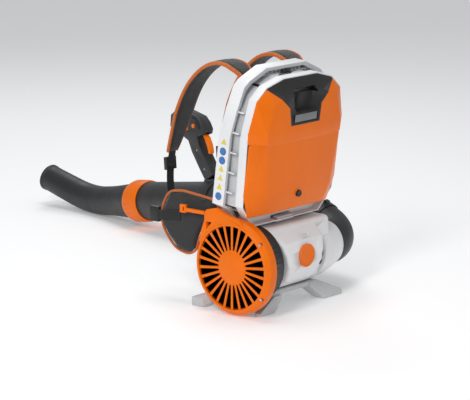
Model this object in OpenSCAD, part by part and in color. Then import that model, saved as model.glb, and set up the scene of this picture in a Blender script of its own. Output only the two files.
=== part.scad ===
/* [Carry frame] */
// Backward lean of the frame, battery and harness, in degrees
lean = 7; // [5:0.5:9]
// Half width of the frame at its widest
frame_half = 190; // [178:2:200]
// Height of the frame along its lean
frame_tall = 404; // [385:2:450]
// Depth of the frame's rim
frame_deep = 34; // [24:1:40]
// Width of the rim as seen from behind
rim_w = 9; // [6:1:14]
// Number of stiffening ribs across the back plate
rib_count = 6; // [3:1:9]

/* [Battery] */
// Half width of the battery at its widest
battery_half = 180; // [165:1:186]
// Depth of the battery from its flat front to its back face
battery_deep = 53; // [46:1:64]
// Depth of the battery's white shell
tray_deep = 23; // [18:1:28]
// Diameter of the charge button
button_d = 17; // [12:1:22]
// Half width of the handle recess
recess_half = 44; // [34:1:48]

/* [Fan unit] */
// Radius of the intake opening
intake_r = 103; // [96:1:106]
// Radius of the intake cover at its skirt
cover_r = 118; // [114:1:118]
// Radius of the grille's middle disc
hub_r = 45; // [34:1:60]
// Number of grille spokes
spoke_count = 26; // [16:1:30]
// Width of one spoke
spoke_w = 7.6; // [4:0.2:8.6]
// Inner radius of the fan duct
duct_r = 62; // [58:0.5:64]
// Number of fan blades
blade_count = 9; // [5:1:11]
// Radius of the motor shaft
shaft_r = 4; // [3:0.5:4.5]
// Running gap between shaft and bearings
shaft_fit = 0.02; // [0.01:0.01:0.05]

/* [Blow pipe] */
// Outer radius of the blow tube
tube_r = 54; // [48:0.5:54]
// Wall of the tube, the elbow and the nozzle
pipe_wall = 2.6; // [2:0.2:4]
// Length of the blow tube from hose to nozzle ring
tube_long = 635; // [560:5:660]
// Outer radius of the nozzle's mouth
mouth_r = 38; // [32:1:42]
// Bend of the nozzle in degrees
nozzle_bend = 26; // [15:1:30]
// Turn of the pipe to the right, in degrees
pipe_yaw = 12.7; // [10:0.1:14]
// Fall of the pipe towards the nozzle, in degrees
pipe_fall = 9.3; // [8.5:0.1:10]

/* [Harness] */
// Width of a shoulder pad
pad_w = 70; // [55:1:80]
// Thickness of a shoulder pad
pad_t = 14; // [9:1:18]
// Distance of each shoulder pad from the middle
pad_x = 100; // [85:1:110]
// Thickness of a hip wing
wing_t = 15; // [10:1:18]

/* [Base] */
// Height of the deck's underside above the ground
deck_z = 38; // [32:1:39]
// Half width across the feet
feet_half = 164; // [140:1:172]

/* [Hidden] */
$fn = 72;

gap = 0.3;
wall = 3;
orange = "#f07800";
charcoal = "#333333";
white_shell = "#ececec";
pale_grey = "#d0d0d0";
fabric = "#2b2c2e";

// height of the point that the upper assembly leans about
lean_z = 200;
// top of the stand's deck
deck_top = 49.4;
// centre line of the fan
fan_y = -55;
fan_z = 120;
// line of the two bolts that hold the frame to the housing
bolt_y = -46;
// battery planes, measured from the frame's back plane
battery_front = -53;
// back edge of the frame's inner lattice
lattice_back = battery_front + 2;
tray_back = battery_front - tray_deep;
battery_back = battery_front - battery_deep;
battery_low = 25;
// stations along the fan's axis
cover_x = -183;
cone_x = -150;
housing_x = -92;
duct_end_x = 96;
outlet_x = 191;
elbow_r = 57;
elbow_bend = 64;
elbow_rise = 22;
// stations along the blow pipe, counted back from the nozzle's lowest point
ring_back = 265;
neck_back = 215;
bend_back = 40;
bend_radius = 330;
bend_tilt = 24.5;
bend_r = 42;
tip_long = 112;
neck_r = tube_r - 4;
tube_back = neck_back + tube_long;
handle_back = 550;
handle_lean = 25.5;
pipe_z = 39.5;
// the nozzle's lowest point moves out as the tube gets longer, so the hose stays where it is
pipe_more = (tube_long - 635) * cos(pipe_fall);
pipe_low = [474 + pipe_more * sin(pipe_yaw), 997 + pipe_more * cos(pipe_yaw), pipe_z];

function mirrored(points) = concat(points, [for (i = [len(points) - 1:-1:0]) [-points[i][0],
    points[i][1]]]);

module leaning() {
    translate([0, 0, lean_z]) rotate([lean, 0, 0]) children();
}

// a flat outline in x and height, pulled out from y0 back to y1
module slab(points, y0, y1) {
    translate([0, y0, 0]) rotate([90, 0, 0]) linear_extrude(y0 - y1) polygon(points);
}

module along_x(x0, x1, r) {
    translate([x0, fan_y, fan_z]) rotate([0, 90, 0]) cylinder(r = r, h = x1 - x0);
}

// a ring profile of [radius, x] points turned about the fan's axis
module turned_x(profile) {
    translate([0, fan_y, fan_z]) rotate([0, 90, 0]) rotate_extrude() polygon(profile);
}

module on_pipe(back) {
    translate(pipe_low) rotate([0, 0, -pipe_yaw]) rotate([-pipe_fall, 0, 0])
        translate([0, -back, 0]) children();
}

// a tube lying along the pipe, from its back end forwards
module pipe(long, r0, r1, inner0, inner1) {
    difference() {
        rotate([-90, 0, 0]) cylinder(r1 = r0, r2 = r1, h = long);
        translate([0, -0.01, 0]) rotate([-90, 0, 0]) cylinder(r1 = inner0, r2 = inner1, h = long + 0.02);
    }
}

// ---------------------------------------------------------------- carry frame
frame_side = [[88, 14], [112, 18.8], [141, 18.8], [144, 30], [148, 42], [166, 64],
    [frame_half + 2, 76], [frame_half, 250], [frame_half - 16, 308],
    [frame_half - 36, frame_tall - 40], [frame_half - 52, frame_tall - 26], [76, frame_tall]];
function inset(points, d, low) = [for (p = points)
    [p[0] - d, p[1] < 20 ? low : p[1] < 70 ? p[1] + d / 2 : p[1] > frame_tall - 60 ? p[1] - d : p[1]]];

module carry_frame() {
    color(white_shell) difference() {
        union() {
            leaning() {
                difference() {
                    slab(mirrored(frame_side), 5, 5 - frame_deep);
                    slab(mirrored(inset(frame_side, rim_w, 26)), 1, -frame_deep);
                }
                intersection() {
                    slab(mirrored(frame_side), 1, 4 - frame_deep);
                    frame_ribs();
                }
            }
            leaning() side_lattice();
            translate([-90, -58, 208.4]) cube([230, 66, 3.6]);
        }
        leaning() translate([-18, -frame_deep - 6, frame_tall - 36]) cube([34, 15, 26]);
        leaning() for (side = [-1, 1]) {
            translate([side * 82 - 26, -frame_deep - 8, 352]) cube([52, frame_deep + 20, 14]);
        }
        leaning() translate([-52, -frame_deep - 4, 12]) cube([104, frame_deep + 4, 40]);
        for (x = [-84, 84]) translate([x, bolt_y, 200]) cylinder(d = 6.4, h = 20, $fn = 24);
    }
}

module frame_ribs() {
    rib_step = (frame_tall - 110) / rib_count;
    for (i = [0:rib_count - 1]) translate([-200, 5 - frame_deep + 3, 60 + i * rib_step]) cube([400, 24, 3]);
    for (side = [-1, 1]) translate([side * (frame_half - 36) - 1.5, 5 - frame_deep + 3, 12]) cube([3, 24,
        330]);
    for (i = [-4:4]) translate([i * 15 - 1, 5 - frame_deep + 5, frame_tall - 32]) cube([2, 22, 32]);
    translate([-70, 5 - frame_deep + 5, frame_tall - 32]) cube([140, 22, 2]);
    translate([-100, 5 - frame_deep + 5, frame_tall - 21]) cube([200, 22, 2]);
}

// the ribbed wall inside the rim that reaches back towards the battery
module side_lattice() {
    rib_step = (frame_tall - 110) / rib_count;
    difference() {
        slab(mirrored(inset(frame_side, 20, 26)), 1, lattice_back);
        slab(mirrored(inset(frame_side, 23, 29)), 2, lattice_back - 1);
        translate([-60, lattice_back - 1, 12]) cube([120, 60, 40]);
    }
    intersection() {
        difference() {
            slab(mirrored(inset(frame_side, 7, 26)), 1, lattice_back + 4);
            slab(mirrored(inset(frame_side, 21, 27)), 2, lattice_back);
        }
        for (i = [0:rib_count - 1]) translate([-200, lattice_back, 60 + i * rib_step]) cube([400, 60, 3]);
    }
}

module battery_socket() {
    color(charcoal) leaning() {
        translate([-50, -frame_deep + 0.5, 18.5]) cube([100, 33, 6]);
        translate([-34, -frame_deep - 38, 20]) cube([68, 38.5, 3.3]);
    }
}

module frame_bolts() {
    color("#707070") for (x = [-84, 84]) translate([x, bolt_y, 0]) {
        translate([0, 0, 199]) cylinder(d = 6, h = 14, $fn = 24);
        translate([0, 0, 212.05]) cylinder(d = 11, h = 3, $fn = 24);
    }
}

module strap_anchors() {
    color(charcoal) leaning() {
        for (side = [-1, 1]) {
            translate([side * 82 - 25, -frame_deep - 2, 352.4]) cube([50, frame_deep + 12, 3]);
            translate([side * 82 - 25, -frame_deep - 2, 362.6]) cube([50, frame_deep + 12, 3]);
            translate([side * 82 - 25, -frame_deep - 2, 355.4]) cube([50, 3, 7.2]);
        }
        difference() {
            translate([-16, 2 - frame_deep, frame_tall - 34]) cube([30, 5.6, 22]);
            translate([-9, 1 - frame_deep, frame_tall - 28]) cube([16, 8, 10]);
        }
    }
}

// ---------------------------------------------------------------- base
// foot and top are [x0, x1, y0, y1, z0, z1] boxes that a leg joins
module box(b) {
    translate([b[0], b[2], b[4]]) cube([b[1] - b[0], b[3] - b[2], b[5] - b[4]]);
}

module leg(foot, top) {
    hull() {
        box(foot);
        box(top);
    }
}

module base_stand() {
    color(pale_grey) difference() {
        union() {
            translate([-88, -104, deck_z]) cube([176, 128, deck_top - deck_z]);
            leg([100, feet_half + 8, -122, -88, 0, 13], [60, 88, -108, -62, deck_z, deck_top]);
            leg([18 - feet_half, -90, -118, -99, 0, 8], [-88, -58, -114, -99, deck_z - 8, deck_z + 1.5]);
            leg([feet_half - 40, feet_half - 4, 54, 90, 0, 22], [60, 88, -18, 24, deck_z, deck_top]);
            leg([4 - feet_half, 40 - feet_half, 54, 90, 0, 22], [-88, -60, 4, 24, deck_z, deck_top]);
        }
        for (x = [-60, 60], y = [-80, 4]) translate([x, y, deck_z - 1]) cylinder(d = 5.4, h = 20, $fn = 24);
    }
}

// ---------------------------------------------------------------- fan housing
// [half width, y, z, corner radius] of the bodies that the housing's skin is drawn round
rear_skin = [[132, -90, 193, 14], [118, -104, 160, 14], [104, -106, 110, 14], [88, -88, 65, 14], [132,
    -30, 193, 14],
    [84, -30, 65, 14]];
front_skin = [[132, -70, 193, 14], [84, -70, 65, 14], [118, -2, 180, 14], [96, 6, 140, 14], [84, -8, 65,
    14]];
panel_skin = [[76, -96, 190, 10], [70, -126, 165, 10], [62, -134, 140, 10], [56, -134, 116, 10], [50,
    -118, 80, 10],
    [46, -92, 62, 10]];

module skin(bodies, shrink) {
    hull() for (b = bodies, side = [-1, 1]) translate([side * b[0], b[1],
        b[2]]) sphere(r = b[3] - shrink, $fn = 24);
}

module housing_cuts() {
    along_x(-200, housing_x + 0.3, 97);
    along_x(housing_x - 1, 100, duct_r + 3.4);
    along_x(duct_end_x, 220, 74.6);
    for (x = [-84, 84]) translate([x, bolt_y, 190]) cylinder(d = 6, h = 30, $fn = 24);
}

module fan_housing_rear() {
    color(white_shell) difference() {
        intersection() {
            union() {
                skin(rear_skin, 0);
                skin(panel_skin, 0);
            }
            translate([-200, -200, 50]) cube([400, 150, 158]);
        }
        intersection() {
            union() {
                skin(rear_skin, wall);
                skin(panel_skin, wall);
            }
            translate([-200, -200, 53]) cube([400, 160, 152]);
        }
        housing_cuts();
        translate([0, -147, 133]) rotate([-90, 0, 0]) cylinder(r = 29.2, h = 5);
    }
}

module fan_housing_front() {
    color(white_shell) difference() {
        intersection() {
            skin(front_skin, 0);
            translate([-200, -49.8, 50]) cube([400, 150, 158]);
        }
        intersection() {
            skin(front_skin, wall);
            translate([-200, -60, 53]) cube([400, 160, 152]);
        }
        housing_cuts();
    }
}

module housing_badge() {
    color(orange) translate([0, -147.4, 133]) rotate([-90, 0, 0]) cylinder(r = 28.8, h = 5.3);
}

module fan_duct() {
    color(charcoal) turned_x([[duct_r, housing_x + 0.4], [duct_r + 3, housing_x + 0.4], [duct_r + 3,
        duct_end_x],
        [duct_r, duct_end_x]]);
}

module outlet_duct() {
    color(white_shell) translate([0, fan_y, fan_z]) rotate([0, 90, 0]) difference() {
        union() {
            translate([0, 0, duct_end_x + 0.2]) cylinder(r = 74, h = 30);
            translate([0, 0, duct_end_x + 30.2]) cylinder(r1 = 74, r2 = 60, h = outlet_x - duct_end_x - 38);
            translate([0, 0, outlet_x - 7.9]) cylinder(r = 57, h = 7.9);
        }
        translate([0, 0, duct_end_x]) cylinder(r = duct_r, h = 26);
        translate([0, 0, duct_end_x + 25.9])
            cylinder(r1 = duct_r, r2 = elbow_r - pipe_wall, h = outlet_x - duct_end_x - 25.8);
    }
}

// ---------------------------------------------------------------- intake
module intake_cone() {
    color(charcoal) union() {
        turned_x([[intake_r - 2, cone_x - 16], [intake_r + 2, cone_x - 16], [intake_r + 2, cone_x + 2],
            [93, cone_x + 7], [93, housing_x], [duct_r, housing_x], [duct_r + 3, housing_x - 14],
                [intake_r - 12, cone_x + 14]]);
        for (i = [0:47]) translate([0, fan_y, fan_z]) rotate([i * 7.5, 0, 0])
            translate([cone_x + 14, -0.8, 92.2]) cube([20, 1.6, 4.4]);
    }
}

// corner tab of the cover in y and height, measured from the fan's axis
tab = [[102, 50], [97, 75], [84.8, 108], [84.8, 124], [78, 134], [48, 141], [22, 131], [-20, 121], [-45,
    100], [40, 60]];

module intake_cover() {
    color(orange) difference() {
        union() {
            turned_x([[intake_r, cover_x], [intake_r + 5.5, cover_x], [cover_r, cover_x + 12], [cover_r,
                cone_x],
                [intake_r + 2.4, cone_x], [intake_r + 2.4, cover_x + 5], [intake_r, cover_x + 5]]);
            difference() {
                translate([cover_x + 1, fan_y, fan_z]) rotate([90, 0, 90]) linear_extrude(13) polygon(tab);
                along_x(cover_x - 1, cone_x + 1, intake_r + 6);
            }
        }
        translate([cover_x, fan_y, fan_z]) rotate([90, 0, 90]) translate([0, 0, -1])
            linear_extrude(60) polygon([[78, 86], [80, 104], [62, 104]]);
        for (a = [35, -38]) translate([cover_x + 3, fan_y, fan_z]) rotate([a, 0, 0])
            translate([0, -112, 0]) rotate([0, 90, 0]) cylinder(d = 8.4, h = 10, $fn = 24);
    }
}

module cover_screws() {
    color("#c8c8c8") for (a = [35, -38]) translate([cover_x + 8.2, fan_y, fan_z]) rotate([a, 0, 0])
        translate([0, -112, 0]) rotate([0, 90, 0]) difference() {
            cylinder(d = 8, h = 4.7, $fn = 24);
            translate([0, 0, -0.1]) cylinder(d = 4, h = 2.5, $fn = 6);
        }
}

module intake_grille() {
    color(orange) union() {
        along_x(cover_x + 2, cover_x + 8, hub_r);
        along_x(cover_x, cover_x + 3, hub_r - 5);
        turned_x([[intake_r - 4, cover_x + 5.2], [intake_r + 1.8, cover_x + 5.2], [intake_r + 1.8,
            cover_x + 16],
            [intake_r - 4, cover_x + 16]]);
        for (i = [0:spoke_count - 1]) translate([cover_x + 3.4, fan_y,
            fan_z]) rotate([i * 360 / spoke_count, 0, 0])
            translate([0, -spoke_w / 2, hub_r - 4]) cube([10, spoke_w, intake_r - hub_r + 3]);
    }
}

module cover_arm() {
    color(orange) difference() {
        union() {
            translate([cover_x, 30, 240]) cube([9, 60, 8]);
            translate([cover_x, 90, 236]) cube([9, 18, 20]);
        }
        translate([cover_x - 3, 94, 241]) cube([18, 5, 10]);
    }
}

// ---------------------------------------------------------------- motor and fan
module stator_vanes() {
    color(charcoal) difference() {
        union() {
            along_x(-40, 52, 34);
            for (i = [0:7]) translate([-30, fan_y, fan_z]) rotate([i * 45, 0, 0]) translate([0, -1.5, 33]) {
                rotate([0, 0, 0]) cube([46, 3, duct_r - 33.4]);
            }
            along_x(52, 66, 20);
        }
        along_x(-36, 48, 30.4);
        along_x(-41, -30, 11);
        along_x(40, 60, 11);
    }
}

module motor_stator() {
    color("#8a5a30") difference() {
        along_x(-20, 34, 30.3);
        along_x(-21, 35, 17.6);
    }
}

module motor_bearings() {
    color("#b0b4b8") for (x = [-40, 52]) difference() {
        along_x(x, x + 7, 10.95);
        along_x(x - 1, x + 8, shaft_r + shaft_fit);
    }
}

module motor_rotor() {
    color("#9a9ea2") union() {
        along_x(-90, 60, shaft_r);
        along_x(-18, 32, 17);
    }
}

module fan_impeller() {
    color(charcoal) difference() {
        union() {
            along_x(-84, -46, 30);
            intersection() {
                difference() {
                    along_x(-84, -46, duct_r - 1.5);
                    along_x(-85, -45, 28);
                }
                for (i = [0:blade_count - 1]) translate([-65, fan_y,
                    fan_z]) rotate([i * 360 / blade_count, 0, 0])
                    translate([0, 0, 26]) rotate([0, 0, 38]) translate([-26, -1.4, 0]) cube([52, 2.8, 40]);
            }
        }
        along_x(-90, -40, shaft_r);
        along_x(-62, -45, 26);
    }
}

module fan_nut() {
    color("#b0b4b8") difference() {
        translate([-92, fan_y, fan_z]) rotate([0, 90, 0]) cylinder(r1 = 5, r2 = 9, h = 8);
        along_x(-90.01, -80, shaft_r);
    }
}

module motor_controller() {
    color("#4a5a4a") translate([-52, -92, 188.5]) cube([104, 42, 11.5]);
}

// ---------------------------------------------------------------- battery
// outline of the white shell, right side, bottom to top
tray_side = [[128, battery_low], [150, 49], [battery_half - 5, 80], [battery_half - 2, 150],
    [battery_half + 2, 250], [battery_half - 18, 342], [battery_half - 52, 372], [66, 388]];
// outline of the black insert, right side
insert_side = [[55, 274], [61, 318], [92, 344], [128, 367], [140, 400]];

function tray_inside(points) = [for (p = points) [p[0] - wall,
    p[1] < 40 ? p[1] + wall : p[1] > 320 ? p[1] - wall : p[1]]];

module battery_tray() {
    color(white_shell) leaning() difference() {
        slab(mirrored(tray_side), battery_front, tray_back);
        slab(mirrored(tray_inside(tray_side)), battery_front - wall, tray_back - 1);
        slab([[-48, 346], [48, 346], [40, 366], [-40, 366]], battery_front + 1, tray_back);
        translate([-37, battery_front - 21, battery_low - 1]) cube([74, 22, 10]);
    }
}

// [half width, height, depth behind the tray's back plane] of the cover's corners
upper_corners = [[battery_half - 4, 240, 0], [battery_half - 1, 264, 0], [battery_half - 21, 338, 0],
    [battery_half - 57, 366, 0], [64, 382, 0], [battery_half - 40, 240, 27], [battery_half - 60, 326, 22],
    [66, 350, 18], [60, 378, 2], [battery_half - 40, 262, 27]];
lower_corners = [[battery_half - 8, 232, 0], [battery_half - 6, 110, 0], [battery_half - 29, 54, 0],
    [battery_half - 44, 230, 27], [battery_half - 58, 110, 27], [battery_half - 72, 62, 22],
        [battery_half - 40, 258, 25],
    [battery_half - 40, 258, 0]];

module cover_body(corners, r) {
    hull() for (c = corners, side = [-1, 1]) translate([side * c[0], tray_back - c[2],
        c[1]]) sphere(r = r, $fn = 16);
}

module insert_outline(spread) {
    slab(mirrored([for (p = insert_side) [p[0] + spread, p[1] - spread]]), tray_back + 12, tray_back - 60);
}

module battery_cover() {
    color(orange) leaning() difference() {
        intersection() {
            union() {
                cover_body(upper_corners, wall);
                cover_body(lower_corners, wall);
            }
            translate([-200, tray_back - 60, 20]) cube([400, 59.8, 400]);
        }
        cover_body(upper_corners, 0.1);
        cover_body(lower_corners, 0.1);
        insert_outline(0.2);
        translate([0, tray_back - 20, 98]) rotate([90, 0, 0]) cylinder(d = button_d + 0.8, h = 30);
    }
}

recess = [[recess_half - 12, 303], [recess_half, 316], [recess_half + 2, 344], [recess_half - 6, 362]];

module battery_handle() {
    color(charcoal) leaning() difference() {
        intersection() {
            cover_body(upper_corners, wall);
            insert_outline(0);
            translate([-200, tray_back - 60, 200]) cube([400, 59.8, 200]);
        }
        slab(mirrored(recess), tray_back - 5, tray_back - 60);
        slab([[-48, 347], [48, 347], [38, 362], [-38, 362]], tray_back + 1, tray_back - 60);
        slab([[-42, 281], [42, 281], [42, 300], [-42, 300]], battery_back + 2.2, battery_back - 20);
    }
}

module battery_label() {
    color("#8c8f92") leaning() slab([[-41.6, 281.4], [41.6, 281.4], [41.6, 299.6], [-41.6, 299.6]],
        battery_back + 2.1, battery_back + 0.6);
}

module cell_pack() {
    color("#5a6a80") leaning() {
        translate([-100, battery_back + 12, 84]) cube([200, battery_deep - 15.4, 170]);
    }
}

module battery_plug() {
    color(charcoal) leaning() translate([-30, battery_front - 19.5, battery_low - 1.4]) cube([60, 15, 9]);
}

module charge_button() {
    color("#2a2a2a") leaning() translate([0, battery_back + 7, 98]) rotate([90, 0, 0]) difference() {
        cylinder(d = button_d, h = 11);
        translate([0, 0, 10]) cylinder(d = button_d - 8, h = 3);
    }
}

// ---------------------------------------------------------------- elbow and hose
module elbow_frame() {
    translate([outlet_x + 0.2, fan_y, fan_z]) rotate([elbow_rise, 0, 0]) children();
}

module outlet_elbow() {
    color(charcoal) elbow_frame() translate([0, elbow_bend, 0]) rotate([0, 0,
        -90]) rotate_extrude(angle = 90)
        translate([elbow_bend, 0]) difference() {
            circle(r = elbow_r);
            circle(r = elbow_r - pipe_wall);
        }
}

module elbow_clamp() {
    color("#2a2a2a") elbow_frame() translate([elbow_bend, elbow_bend + 0.2, 0]) rotate([-90, 0,
        0]) difference() {
        union() {
            cylinder(r = elbow_r + 3, h = 24);
            translate([-7, -elbow_r - 10, 7]) cube([14, 12, 11]);
        }
        translate([0, 0, -1]) cylinder(r = elbow_r + 1, h = 30);
    }
}

// points of the hose's middle line, from the elbow's end to the tube
hose_in = [outlet_x + 0.2 + elbow_bend, fan_y + (elbow_bend + 0.3) * cos(elbow_rise),
    fan_z + (elbow_bend + 0.3) * sin(elbow_rise)];
hose_in_dir = [0, cos(elbow_rise), sin(elbow_rise)];
pipe_dir = [sin(pipe_yaw) * cos(pipe_fall), cos(pipe_yaw) * cos(pipe_fall), -sin(pipe_fall)];
hose_out = pipe_low - pipe_dir * (tube_back + 0.3);
hose_reach = norm(hose_out - hose_in) / 3;
function hose_at(t) = pow(1 - t, 3) * hose_in + 3 * pow(1 - t, 2) * t * (hose_in + hose_in_dir * hose_reach)
    + 3 * (1 - t) * t * t * (hose_out - pipe_dir * hose_reach) + t * t * t * hose_out;
function unit(v) = v / norm(v);
function hose_dir(t) = unit(3 * pow(1 - t, 2) * hose_in_dir * hose_reach
    + 6 * (1 - t) * t * (hose_out - pipe_dir * hose_reach - hose_in - hose_in_dir * hose_reach)
    + 3 * t * t * pipe_dir * hose_reach);
hose_sides = 24;
hose_outer = 57;
hose_inner = 53;
hose_mid = 0.5;
hose_mid_gap = 0.035;

function ring_points(t, r) = let (c = hose_at(t), d = hose_dir(t), u = unit(cross(d, [0, 0, 1])),
    v = cross(u, d))
    [for (i = [0:hose_sides - 1]) c + r * (cos(i * 360 / hose_sides) * u + sin(i * 360 / hose_sides) * v)];

module hose_piece(t0, t1, rings) {
    n = hose_sides;
    outer = [for (k = [0:rings]) each ring_points(t0 + (t1 - t0) * k / rings,
        k % 2 == 0 ? hose_outer - 3 : hose_outer)];
    inner = [for (k = [0:rings]) each ring_points(t0 + (t1 - t0) * k / rings, hose_inner - 2)];
    m = n * (rings + 1);
    polyhedron(points = concat(outer, inner), faces = concat(
        [for (k = [0:rings - 1], i = [0:n - 1]) [k * n + i, k * n + (i + 1) % n,
            (k + 1) * n + (i + 1) % n, (k + 1) * n + i]],
        [for (k = [0:rings - 1], i = [0:n - 1])
            [m + k * n + i, m + (k + 1) * n + i, m + (k + 1) * n + (i + 1) % n, m + k * n + (i + 1) % n]],
        [for (i = [0:n - 1]) [i, m + i, m + (i + 1) % n, (i + 1) % n]],
        [for (i = [0:n - 1]) [rings * n + i, rings * n + (i + 1) % n, m + rings * n + (i + 1) % n,
            m + rings * n + i]]),
        convexity = 4);
}

module hose_rear() { color(fabric) hose_piece(0, hose_mid - hose_mid_gap, 10); }
module hose_front() { color(fabric) hose_piece(hose_mid + hose_mid_gap, 1, 10); }

module hose_mid_ring() {
    d = hose_dir(hose_mid);
    color(charcoal) translate(hose_at(hose_mid)) rotate([0, acos(d[2]), atan2(d[1], d[0])]) difference() {
        translate([0, 0, -4.2]) cylinder(r = hose_outer + 2, h = 8.4);
        translate([0, 0, -5]) cylinder(r = hose_inner - 1, h = 10);
    }
}

// ---------------------------------------------------------------- blow tube and nozzle
module blow_tube() {
    color(charcoal) union() {
        on_pipe(tube_back) pipe(tube_long, tube_r, tube_r, tube_r - pipe_wall, tube_r - pipe_wall);
        on_pipe(neck_back + 0.4) pipe(26, neck_r, neck_r, neck_r - pipe_wall, neck_r - pipe_wall);
        on_pipe(neck_back + 4) pipe(4, tube_r - 0.5, tube_r - 0.5, neck_r - pipe_wall, neck_r - pipe_wall);
        on_pipe(tube_back - 60) translate([-3, 0, tube_r - 0.5]) cube([6, 14, 7]);
    }
}

module tube_collar() {
    color("#2a2a2a") on_pipe(tube_back - 1) pipe(26, tube_r + 5, tube_r + 5, tube_r + 0.05, tube_r + 0.05);
}

module clamp_ring() {
    color(orange) on_pipe(ring_back) difference() {
        union() {
            pipe(12, 57, 59.5, tube_r + gap, tube_r + gap);
            translate([0, 12, 0]) pipe(43, 59.5, 60.5, tube_r + gap, tube_r + gap);
            translate([0, 55, 0]) pipe(10, 60.5, 58, tube_r + gap, tube_r + gap);
        }
        for (i = [0:11]) rotate([0, i * 30, 0]) translate([-1, 14, 59.6]) cube([2, 38, 4]);
    }
}

// the nozzle's middle line: straight, round the bend, straight again
cone_long = neck_back - 14 - bend_back;
bend_long = bend_radius * nozzle_bend * PI / 180;
nozzle_long = cone_long + bend_long + tip_long;
bend_up = [-sin(bend_tilt), 0, cos(bend_tilt)];
function bend_angle(s) = s < cone_long ? 0 : min((s - cone_long) / bend_long, 1) * nozzle_bend;
function nozzle_at(s) = let (b = bend_angle(s), past = max(s - cone_long - bend_long, 0))
    [0, min(s, cone_long) + bend_radius * sin(b) + past * cos(b), 0]
    + bend_up * (bend_radius * (1 - cos(b)) + past * sin(b));
function nozzle_r(s) = s < cone_long ? tube_r - 1.5 + (bend_r - tube_r + 1.5) * sin(90 * s / cone_long)
    : bend_r + (mouth_r - bend_r) * (s - cone_long) / (nozzle_long - cone_long);

// a closed solid round the nozzle's middle line, thinned by less
module nozzle_body(less, s0, s1, rings) {
    n = 32;
    ring = [for (k = [0:rings]) let (s = s0 + (s1 - s0) * k / rings, b = bend_angle(s),
        r = nozzle_r(s) - less,
        v = [0, -sin(b), 0] + bend_up * cos(b))
        each [for (i = [0:n - 1]) nozzle_at(s) + r * (cos(i * 360 / n) * cross([0, 1, 0], bend_up)
            + sin(i * 360 / n) * v)]];
    polyhedron(points = ring, faces = concat(
        [for (k = [0:rings - 1], i = [0:n - 1]) [k * n + i, (k + 1) * n + (i + 1) % n, (k + 1) * n + i]],
        [for (k = [0:rings - 1], i = [0:n - 1]) [k * n + i, k * n + (i + 1) % n,
            (k + 1) * n + (i + 1) % n]],
        [[for (i = [n - 1:-1:0]) i]], [[for (i = [0:n - 1]) rings * n + i]]), convexity = 4);
}

module at_mouth() {
    translate(nozzle_at(nozzle_long)) rotate([0, -bend_tilt, 0]) rotate([nozzle_bend, 0, 0]) rotate([-90,
        0, 0]) children();
}

module nozzle() {
    color(charcoal) on_pipe(neck_back - 0.3) difference() {
        union() {
            rotate([-90, 0, 0]) cylinder(r = tube_r - 0.2, h = 16);
            translate([0, 14, 0]) nozzle_body(0, 0, nozzle_long, 22);
            translate([0, 14, 0]) at_mouth() translate([0, 0, -9]) cylinder(r = mouth_r + 1.6, h = 10);
        }
        translate([0, -0.1, 0]) rotate([-90, 0, 0]) cylinder(r = neck_r + gap, h = 30.1);
        translate([0, 14, 0]) nozzle_body(pipe_wall, 14, nozzle_long - 16, 20);
        translate([0, 14, 0]) at_mouth() translate([0, 0, -20]) cylinder(r = mouth_r - pipe_wall + 1,
            h = 30);
    }
}

// ---------------------------------------------------------------- control handle
module on_handle() {
    on_pipe(handle_back) translate([0, 0, tube_r]) rotate([-handle_lean, 0, 0]) children();
}

module handle_clamp() {
    color(charcoal) difference() {
        union() {
            on_pipe(handle_back + 49) rotate([-90, 0, 0]) cylinder(r = tube_r + 4.2, h = 50);
            on_pipe(handle_back + 48) translate([-17, 0, tube_r - 8]) cube([34, 48, 16]);
        }
        on_pipe(handle_back + 60) rotate([-90, 0, 0]) cylinder(r = tube_r + gap, h = 90);
    }
}

// outline of the grip seen from the side, with y forwards
grip_outline = [[-46, -12.4], [-6, 6.7], [-2, 40], [3, 93], [0, 128], [13, 146], [50, 172], [52, 200],
    [22, 234], [-4, 230],
    [-73, 163], [-85, 124], [-70, 111], [-42, 117], [-36, 93], [-40, 40]];
// outline of the head's wide middle
head_outline = [[-66, 128], [6, 156], [42, 178], [43, 196], [18, 225], [-2, 221], [-64, 158]];

module grip_half(side) {
    color(charcoal) on_handle() difference() {
        intersection() {
            union() {
                rotate([90, 0, 90]) translate([0, 0, -17]) linear_extrude(34) polygon(grip_outline);
                rotate([90, 0, 90]) translate([0, 0, -24]) linear_extrude(48) polygon(head_outline);
            }
            translate([side > 0 ? 0.15 : -60, -80, 0]) cube([59.85, 200, 220]);
        }
        rotate([90, 0, 90]) translate([0, 0, -7]) linear_extrude(14) polygon([[22, 100], [8, 102], [-10,
            100], [-10, 142],
            [16, 142]]);
        rotate([90, 0, 90]) translate([0, 0, -8]) linear_extrude(16) polygon([[-76, 96], [-49, 96], [-49,
            118],
            [-64, 119], [-76, 112]]);
        translate([-30, -54, 146]) rotate([0, 90, 0]) cylinder(d = 12.6, h = 14);
        translate([-30, -24, 153]) rotate([0, 90, 0]) cylinder(d = 9.6, h = 14);
        for (z = [30, 88]) translate([-40, -20, z]) rotate([0, 90, 0]) cylinder(d = 5, h = 80, $fn = 24);
    }
}

module grip_left() { grip_half(-1); }
module grip_right() { grip_half(1); }

module handle_screws() {
    color("#b8b8b8") on_handle() for (z = [30, 88]) translate([-16.5, -20, z]) rotate([0, 90,
        0]) difference() {
        cylinder(d = 4.9, h = 33, $fn = 24);
        translate([0, 0, -0.1]) cylinder(d = 2.6, h = 2, $fn = 6);
    }
}

module trigger() {
    color(orange) on_handle() rotate([90, 0, 90]) translate([0, 0, -6]) linear_extrude(12)
        polygon([[2, 136], [12, 136], [15, 122], [12, 108], [16, 98], [10, 97], [4.4, 106], [3.6, 122]]);
}

module rear_lever() {
    color(orange) on_handle() rotate([90, 0, 90]) translate([0, 0, -7]) linear_extrude(14)
        polygon([[-55, 115], [-61, 116], [-68, 102], [-67, 80], [-61, 62], [-56, 57], [-50, 61], [-55,
            80], [-57, 102]]);
}

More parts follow.
